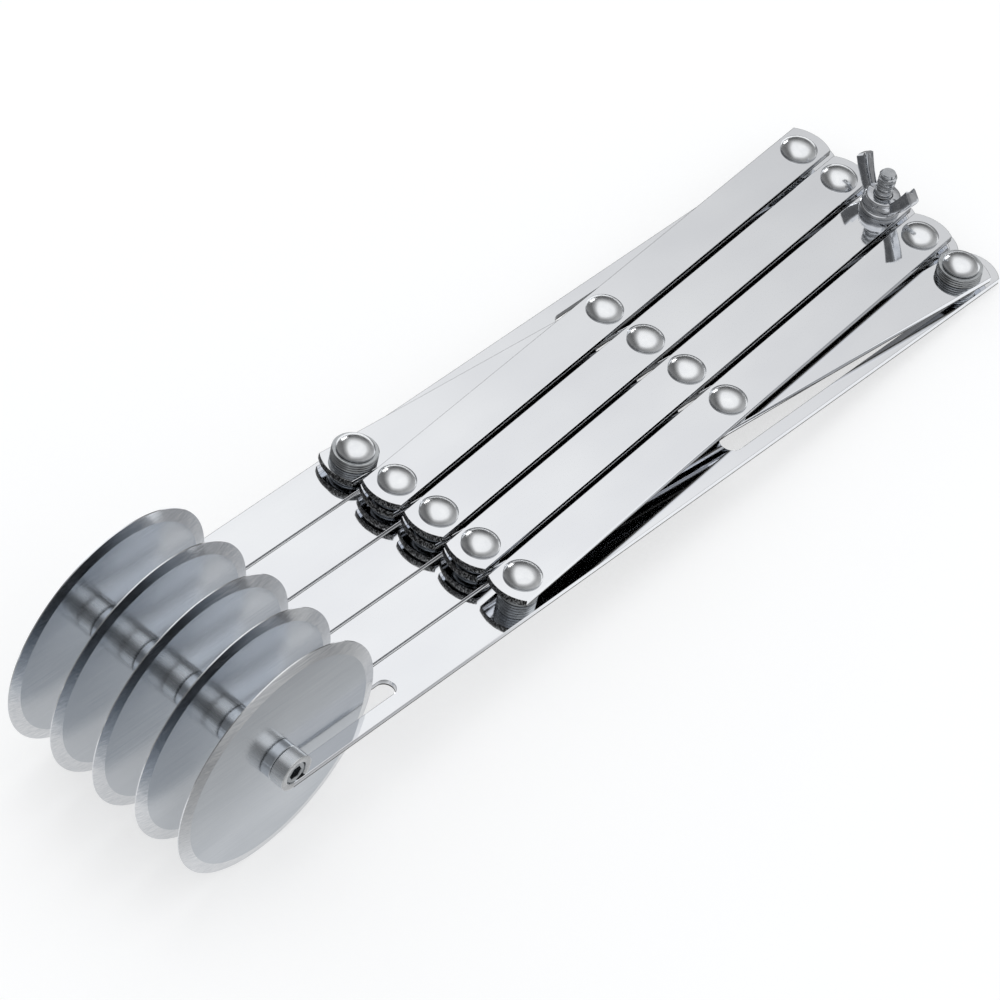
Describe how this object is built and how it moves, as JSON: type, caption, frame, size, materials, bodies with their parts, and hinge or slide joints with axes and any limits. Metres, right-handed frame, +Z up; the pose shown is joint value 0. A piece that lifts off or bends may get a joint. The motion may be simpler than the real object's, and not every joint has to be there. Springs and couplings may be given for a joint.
{
  "type": "multi-wheel pastry cutter",
  "caption": "Expanding pastry cutter: round cutting wheels on flat forked arms, kept evenly spaced by a lazy-tongs linkage and locked by a wing nut.",
  "frame": {"origin": "on the table under the middle of the closed tool's box", "axes": "+X across the arms, +Y from the wheels to the rear ends of the arms, +Z up"},
  "size_m": [0.0568, 0.2546, 0.055],
  "materials": {
    "mirror_steel": "mirror-polished stainless steel strip",
    "rivet_steel": "polished stainless steel rivet",
    "wheel_steel": "satin brushed stainless steel",
    "turned_steel": "turned stainless steel",
    "plated_steel": "bright nickel-plated steel"
  },
  "bodies": {
    "arm_1": {"arm_1": "mirror_steel", "axle_pin_1": "turned_steel", "front_rivet_1": "rivet_steel", "front_low_washer_1": "turned_steel", "front_top_spacer_1": "turned_steel"},
    "arm_2": {"arm_2": "mirror_steel", "axle_pin_2": "turned_steel", "front_rivet_2": "rivet_steel", "front_low_washer_2": "turned_steel", "front_mid_washer_2": "turned_steel"},
    "arm_3": {"arm_3": "mirror_steel", "axle_pin_3": "turned_steel", "front_rivet_3": "rivet_steel", "front_low_washer_3": "turned_steel", "front_mid_washer_3": "turned_steel"},
    "arm_4": {"arm_4": "mirror_steel", "axle_pin_4": "turned_steel", "front_rivet_4": "rivet_steel", "front_low_washer_4": "turned_steel", "front_mid_washer_4": "turned_steel"},
    "arm_5": {"arm_5": "mirror_steel", "axle_pin_5": "turned_steel", "front_rivet_5": "rivet_steel", "front_tall_spacer_5": "turned_steel"},
    "lower_link_1": {"lower_link_1": "mirror_steel", "cross_rivet_1": "rivet_steel", "cross_washer_1": "turned_steel"},
    "lower_link_2": {"lower_link_2": "mirror_steel", "cross_rivet_2": "rivet_steel", "cross_washer_2": "turned_steel"},
    "lower_link_3": {"lower_link_3": "mirror_steel", "cross_rivet_3": "rivet_steel", "cross_washer_3": "turned_steel"},
    "lower_link_4": {"lower_link_4": "mirror_steel", "cross_rivet_4": "rivet_steel", "cross_washer_4": "turned_steel", "rear_rivet_5": "rivet_steel", "rear_low_washer_5": "turned_steel", "rear_top_spacer_5": "turned_steel"},
    "upper_link_1": {"upper_link_1": "mirror_steel", "rear_rivet_1": "rivet_steel", "rear_tall_spacer_1": "turned_steel"},
    "upper_link_2": {"upper_link_2": "mirror_steel", "rear_rivet_2": "rivet_steel", "rear_low_washer_2": "turned_steel", "rear_mid_washer_2": "turned_steel"},
    "upper_link_3": {"upper_link_3": "mirror_steel", "clamp_bolt": "plated_steel", "rear_low_washer_3": "turned_steel", "rear_mid_washer_3": "turned_steel"},
    "upper_link_4": {"upper_link_4": "mirror_steel", "rear_rivet_4": "rivet_steel", "rear_low_washer_4": "turned_steel", "rear_mid_washer_4": "turned_steel"},
    "wheel_1": {"wheel_1": "wheel_steel"},
    "wheel_2": {"wheel_2": "wheel_steel"},
    "wheel_3": {"wheel_3": "wheel_steel"},
    "wheel_4": {"wheel_4": "wheel_steel"},
    "wheel_5": {"wheel_5": "wheel_steel"},
    "wing_nut": {"wing_nut": "plated_steel"}
  },
  "joints": [
    {"name": "tongs_open", "type": "hinge", "parent": "arm_3", "child": "lower_link_3", "pos_m": [0, -0.02745, 0.01755], "axis": [0, -0.0995, -0.995], "range_deg": [0, 57.4]},
    {"name": "cross_3", "type": "hinge", "parent": "lower_link_3", "child": "upper_link_3", "pos_m": [0.00575, 0.04446, 0.01036], "axis": [0, 0.0995, 0.995], "range_deg": [0, 115]},
    {"name": "front_4", "type": "hinge", "parent": "upper_link_3", "child": "arm_4", "pos_m": [0.0115, -0.02745, 0.01755], "axis": [0, -0.0995, -0.995], "range_deg": [0, 57.5]},
    {"name": "link_4", "type": "hinge", "parent": "arm_4", "child": "lower_link_4", "pos_m": [0.0115, -0.02745, 0.01755], "axis": [0, -0.0995, -0.995], "range_deg": [0, 57.5]},
    {"name": "cross_4", "type": "hinge", "parent": "lower_link_4", "child": "upper_link_4", "pos_m": [0.01725, 0.04446, 0.01036], "axis": [0, 0.0995, 0.995], "range_deg": [0, 115]},
    {"name": "front_5", "type": "hinge", "parent": "upper_link_4", "child": "arm_5", "pos_m": [0.023, -0.02745, 0.01755], "axis": [0, -0.0995, -0.995], "range_deg": [0, 57.5]},
    {"name": "link_2", "type": "hinge", "parent": "arm_3", "child": "upper_link_2", "pos_m": [0, -0.02745, 0.01755], "axis": [0, 0.0995, 0.995], "range_deg": [0, 57.5]},
    {"name": "cross_2", "type": "hinge", "parent": "upper_link_2", "child": "lower_link_2", "pos_m": [-0.00575, 0.04446, 0.01036], "axis": [0, -0.0995, -0.995], "range_deg": [0, 115]},
    {"name": "front_2", "type": "hinge", "parent": "lower_link_2", "child": "arm_2", "pos_m": [-0.0115, -0.02745, 0.01755], "axis": [0, 0.0995, 0.995], "range_deg": [0, 57.5]},
    {"name": "link_1", "type": "hinge", "parent": "arm_2", "child": "upper_link_1", "pos_m": [-0.0115, -0.02745, 0.01755], "axis": [0, 0.0995, 0.995], "range_deg": [0, 57.5]},
    {"name": "cross_1", "type": "hinge", "parent": "upper_link_1", "child": "lower_link_1", "pos_m": [-0.01725, 0.04446, 0.01036], "axis": [0, -0.0995, -0.995], "range_deg": [0, 115]},
    {"name": "front_1", "type": "hinge", "parent": "lower_link_1", "child": "arm_1", "pos_m": [-0.023, -0.02745, 0.01755], "axis": [0, 0.0995, 0.995], "range_deg": [0, 57.5]},
    {"name": "wheel_spin_1", "type": "hinge", "parent": "arm_1", "child": "wheel_1", "pos_m": [-0.023, -0.09982, 0.0275], "axis": [1, 0, 0], "continuous": true},
    {"name": "wheel_spin_2", "type": "hinge", "parent": "arm_2", "child": "wheel_2", "pos_m": [-0.0115, -0.09982, 0.0275], "axis": [1, 0, 0], "continuous": true},
    {"name": "wheel_spin_3", "type": "hinge", "parent": "arm_3", "child": "wheel_3", "pos_m": [0, -0.09982, 0.0275], "axis": [1, 0, 0], "continuous": true},
    {"name": "wheel_spin_4", "type": "hinge", "parent": "arm_4", "child": "wheel_4", "pos_m": [0.0115, -0.09982, 0.0275], "axis": [1, 0, 0], "continuous": true},
    {"name": "wheel_spin_5", "type": "hinge", "parent": "arm_5", "child": "wheel_5", "pos_m": [0.023, -0.09982, 0.0275], "axis": [1, 0, 0], "continuous": true},
    {"name": "wing_nut_turn", "type": "hinge", "parent": "upper_link_3", "child": "wing_nut", "pos_m": [0, 0.11638, 0.00316], "axis": [0, 0.0995, 0.995], "continuous": true}
  ],
  "couplings": [
    {"joint": "cross_3", "follows": "tongs_open", "ratio": 2},
    {"joint": "front_4", "follows": "tongs_open", "ratio": 1},
    {"joint": "link_4", "follows": "tongs_open", "ratio": 1},
    {"joint": "cross_4", "follows": "tongs_open", "ratio": 2},
    {"joint": "front_5", "follows": "tongs_open", "ratio": 1},
    {"joint": "link_2", "follows": "tongs_open", "ratio": 1},
    {"joint": "cross_2", "follows": "tongs_open", "ratio": 2},
    {"joint": "front_2", "follows": "tongs_open", "ratio": 1},
    {"joint": "link_1", "follows": "tongs_open", "ratio": 1},
    {"joint": "cross_1", "follows": "tongs_open", "ratio": 2},
    {"joint": "front_1", "follows": "tongs_open", "ratio": 1}
  ]
}
